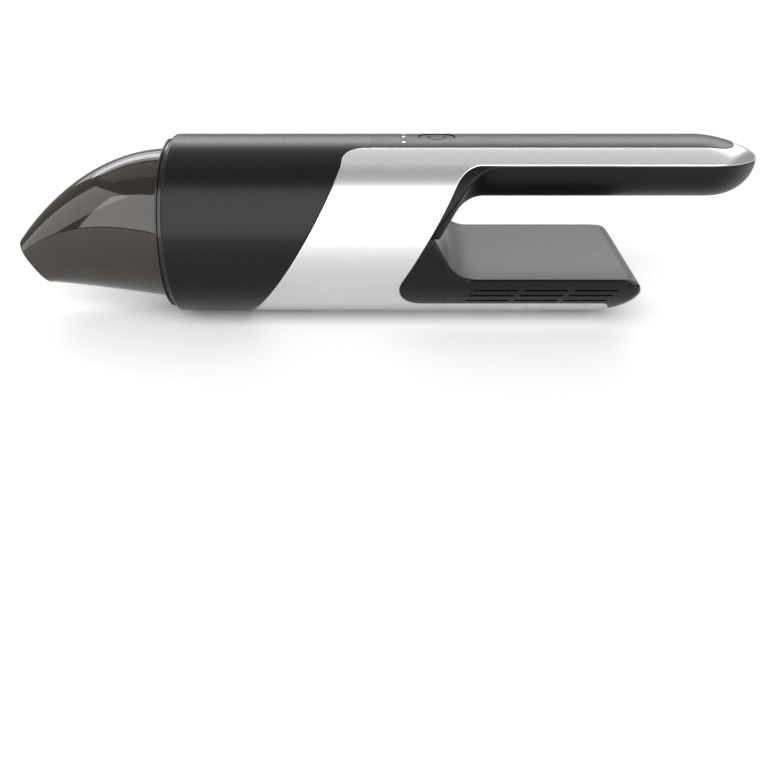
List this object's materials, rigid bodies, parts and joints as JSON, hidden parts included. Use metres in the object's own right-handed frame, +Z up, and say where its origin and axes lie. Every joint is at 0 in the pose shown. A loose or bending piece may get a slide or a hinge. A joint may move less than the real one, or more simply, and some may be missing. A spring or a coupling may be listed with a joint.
{
  "type": "handheld vacuum",
  "caption": "Cordless handheld vacuum with a round barrel, a smoked clear slanted nose, silver side shells, an open grip and a vented rear block.",
  "frame": {"origin": "centre of the footprint, on the surface that the foot pad rests on", "axes": "+X towards the handle tip, +Y to the right-hand side seen from the handle, +Z up; the nose points along -X"},
  "size_m": [0.398, 0.096, 0.0966],
  "materials": {
    "black_shell": "black satin moulded shell",
    "silver_shell": "satin silver paint over plastic",
    "strip_plastic": "dark satin inlay",
    "plate_plastic": "dark grey satin plate",
    "smoked_clear": "smoked clear polycarbonate",
    "collar_black": "black collar",
    "rubber_black": "soft black rubber",
    "filter_plastic": "dark filter frame",
    "steel_mesh": "fine stainless mesh",
    "filter_media": "pleated filter paper",
    "seal_red": "silicone seal",
    "motor_plastic": "glass filled nylon",
    "motor_metal": "machined can",
    "diffuser_metal": "grey moulded diffuser",
    "copper": "enamelled copper windings",
    "bearing_steel": "ground steel",
    "magnet": "sintered magnet",
    "fan_plastic": "pale moulded fan",
    "cell_wrap": "shrink wrapped cells",
    "foam": "open cell foam",
    "board_green": "solder mask",
    "switch_black": "switch body",
    "led_blue": "light pipe",
    "wire_red": "silicone insulation",
    "screw_steel": "zinc plated"
  },
  "bodies": {
    "body": {"front_housing": "black_shell", "top_strip": "strip_plastic", "side_shell_left": "silver_shell", "side_shell_right": "silver_shell", "grip_liner": "black_shell", "block_housing": "black_shell", "block_top_plate": "plate_plastic", "foot_pad": "silver_shell", "motor_mount": "motor_plastic", "motor_gasket": "rubber_black", "diffuser": "diffuser_metal", "motor_can": "motor_metal", "stator": "copper", "front_bearing": "bearing_steel", "rear_bearing": "bearing_steel", "battery_cells": "cell_wrap", "battery_holder": "motor_plastic", "exhaust_foam": "foam", "main_board": "board_green", "tact_switch": "switch_black", "button_spring": "screw_steel", "led_lenses": "led_blue", "charge_socket": "switch_black", "motor_leads": "wire_red", "housing_screws": "screw_steel", "motor_screws": "screw_steel"},
    "cup": {"dust_cup": "smoked_clear", "collar_ring": "collar_black", "cup_seal": "rubber_black", "flap_pin": "bearing_steel"},
    "flap": {"intake_flap": "rubber_black"},
    "filter": {"filter_frame": "filter_plastic", "filter_mesh": "steel_mesh", "filter_pleats": "filter_media", "filter_seal": "seal_red"},
    "rotor": {"rotor_shaft": "bearing_steel", "rotor_magnet": "magnet", "impeller": "fan_plastic"},
    "button": {"power_button": "strip_plastic"}
  },
  "joints": [
    {"name": "cup_pull", "type": "slide", "parent": "body", "child": "cup", "axis": [-1, 0, 0], "range_m": [0, 0.09]},
    {"name": "flap_swing", "type": "hinge", "parent": "cup", "child": "flap", "pos_m": [-0.186, 0, 0.0461], "axis": [0, -1, 0], "range_deg": [0, 45]},
    {"name": "filter_pull", "type": "slide", "parent": "body", "child": "filter", "axis": [-1, 0, 0], "range_m": [0, 0.016]},
    {"name": "rotor_spin", "type": "hinge", "parent": "body", "child": "rotor", "pos_m": [-0.05, 0, 0.0486], "axis": [1, 0, 0], "continuous": true},
    {"name": "button_press", "type": "slide", "parent": "body", "child": "button", "axis": [0, 0, -1], "range_m": [0, 0.0008], "stiffness_N_per_m": 1000, "springref_m": -0.0005, "deforming": ["button_spring"]}
  ]
}
